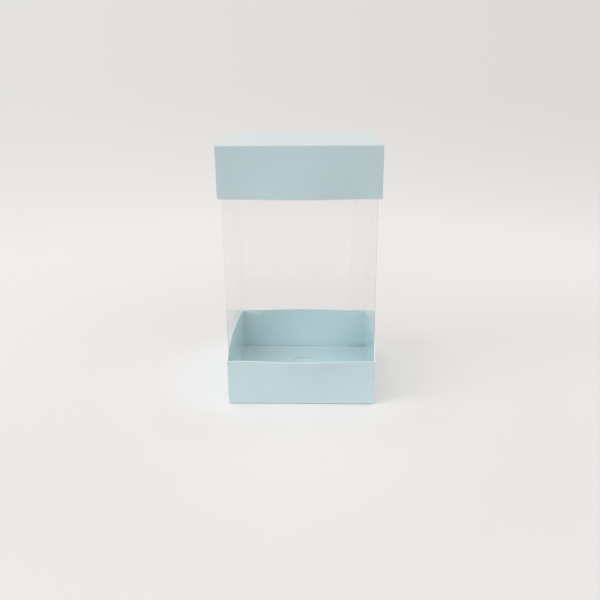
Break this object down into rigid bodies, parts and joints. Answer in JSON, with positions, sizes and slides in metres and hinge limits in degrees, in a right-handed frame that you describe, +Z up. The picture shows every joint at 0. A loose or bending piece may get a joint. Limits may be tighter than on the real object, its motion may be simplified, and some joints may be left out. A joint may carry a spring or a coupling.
{
  "type": "favor box",
  "caption": "Small square favor box: folded pale blue card tray, clear film sleeve standing in it, and a matching folded card lid that lifts off.",
  "frame": {"origin": "middle of the tray's underside, on the surface that the box stands on", "axes": "+Z up, -Y towards the front that the picture shows, +X to the right seen from the front"},
  "size_m": [0.0628, 0.0636, 0.1016],
  "materials": {
    "card": "matt, uncoated",
    "film": "clear, glossy",
    "glue": "dried, translucent"
  },
  "bodies": {
    "tray": {"tray": "card", "tray_corner_glue": "glue"},
    "sleeve": {"sleeve": "film", "sleeve_seam_glue": "glue"},
    "lid": {"lid": "card", "lid_corner_glue": "glue"}
  },
  "joints": [
    {"name": "sleeve_lift", "type": "slide", "parent": "tray", "child": "sleeve", "axis": [0, 0, 1], "range_m": [0, 0.04]},
    {"name": "lid_lift", "type": "slide", "parent": "sleeve", "child": "lid", "axis": [0, 0, 1], "range_m": [0, 0.04]}
  ]
}
